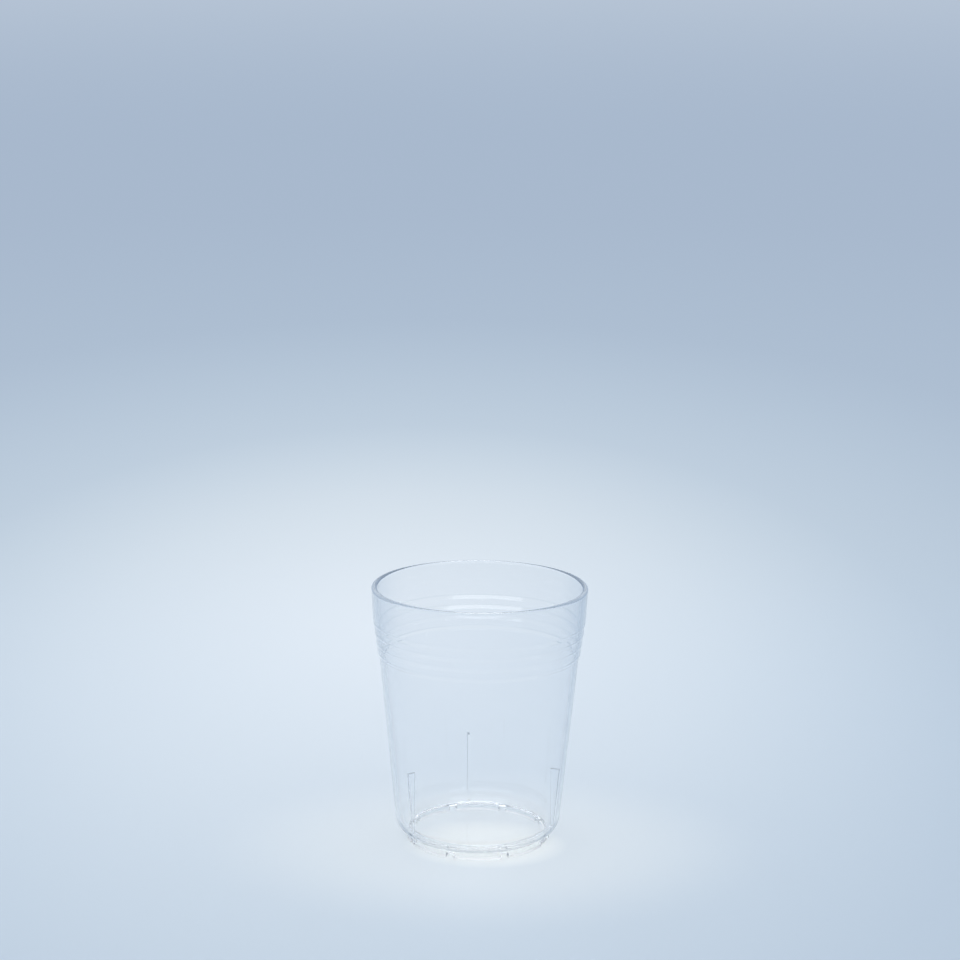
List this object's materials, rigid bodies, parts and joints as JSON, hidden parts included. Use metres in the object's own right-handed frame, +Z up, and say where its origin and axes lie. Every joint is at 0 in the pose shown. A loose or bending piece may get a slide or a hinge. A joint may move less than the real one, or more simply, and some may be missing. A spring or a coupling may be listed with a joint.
{
  "type": "plastic tumbler cup",
  "caption": "Clear tapered tumbler with a thicker upper band, fine ring steps, rounded rim, inner stacking ribs and a notched foot ring.",
  "frame": {"origin": "centre of the foot ring's resting plane", "axes": "+Z up along the cup's axis, from the foot to the rim"},
  "size_m": [0.0798, 0.0798, 0.097],
  "materials": {
    "clear_plastic": "polished clear plastic with a faint blue tint"
  },
  "bodies": {
    "root": {"tumbler": "clear_plastic"}
  },
  "joints": []
}
